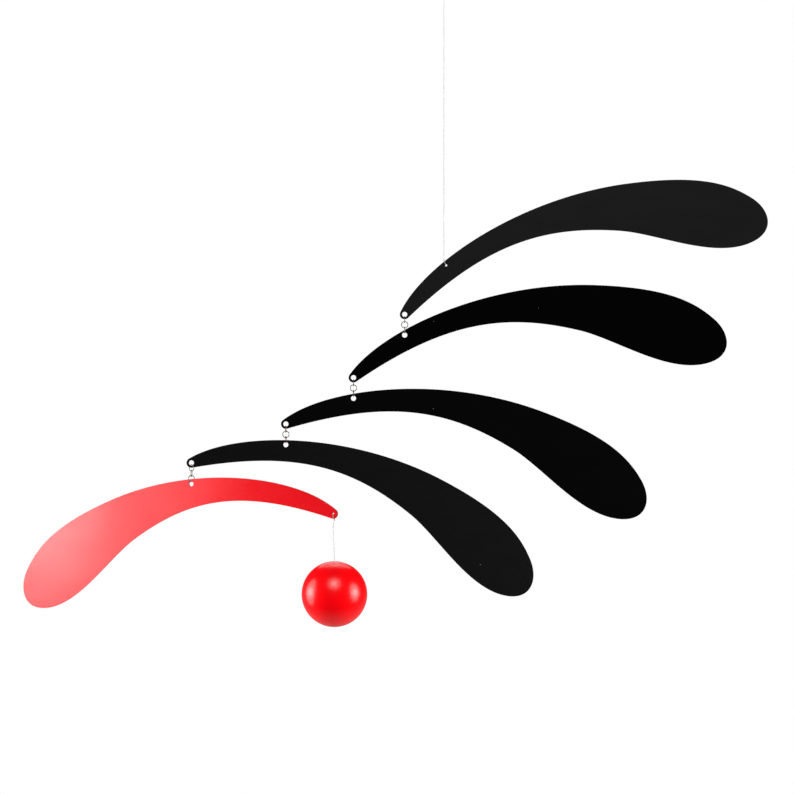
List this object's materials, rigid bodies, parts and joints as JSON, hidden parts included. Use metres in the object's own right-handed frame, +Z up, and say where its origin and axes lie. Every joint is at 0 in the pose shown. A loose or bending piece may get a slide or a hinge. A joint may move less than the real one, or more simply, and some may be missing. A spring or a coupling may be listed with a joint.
{
  "type": "hanging mobile",
  "caption": "Hanging mobile of flat leaf-shaped sheets, each hung by jump rings from the tip of the one above, with a ball on a short thread at the lowest tip.",
  "frame": {"origin": "the top of the hanging loop's eye, where a ceiling hook carries the mobile", "axes": "+Z up, +X along the top leaf towards its round end, front towards -Y"},
  "size_m": [0.6569, 0.1816, 0.5586],
  "materials": {
    "black_sheet": "satin",
    "red_sheet": "satin",
    "ball": "glossy",
    "ring": "bright nickel",
    "thread": "clear nylon"
  },
  "bodies": {
    "thread": {"hanging_loop": "thread", "hanging_thread": "thread"},
    "top_leaf": {"leaf_tie": "thread", "leaf_1": "black_sheet", "link_1_ring_1": "ring", "link_1_ring_2": "ring"},
    "second_leaf": {"link_1_ring_3": "ring", "leaf_2": "black_sheet", "link_2_ring_1": "ring", "link_2_ring_2": "ring"},
    "third_leaf": {"link_2_ring_3": "ring", "leaf_3": "black_sheet", "link_3_ring_1": "ring", "link_3_ring_2": "ring"},
    "fourth_leaf": {"link_3_ring_3": "ring", "leaf_4": "black_sheet", "link_4_ring_1": "ring", "link_4_ring_2": "ring"},
    "red_leaf": {"link_4_ring_3": "ring", "leaf_5": "red_sheet", "ball_tie": "thread", "ball_thread": "thread", "ball": "ball"}
  },
  "joints": [
    {"name": "thread_swivel", "type": "hinge", "parent": "thread", "child": "top_leaf", "pos_m": [0, 0, -0.2455], "axis": [0, 0, 1], "continuous": true},
    {"name": "link_1_swivel", "type": "hinge", "parent": "top_leaf", "child": "second_leaf", "pos_m": [-0.03423, 0, -0.30484], "axis": [0, 0, 1], "range_deg": [-60, 60]},
    {"name": "link_2_swivel", "type": "hinge", "parent": "second_leaf", "child": "third_leaf", "pos_m": [-0.07887, -0.00039, -0.36002], "axis": [0, 0, 1], "range_deg": [-60, 60]},
    {"name": "link_3_swivel", "type": "hinge", "parent": "third_leaf", "child": "fourth_leaf", "pos_m": [-0.13756, -0.00812, -0.40037], "axis": [0, 0, 1], "range_deg": [-60, 60]},
    {"name": "link_4_swivel", "type": "hinge", "parent": "fourth_leaf", "child": "red_leaf", "pos_m": [-0.21801, -0.03043, -0.43361], "axis": [0, 0, 1], "range_deg": [-90, 25]}
  ]
}
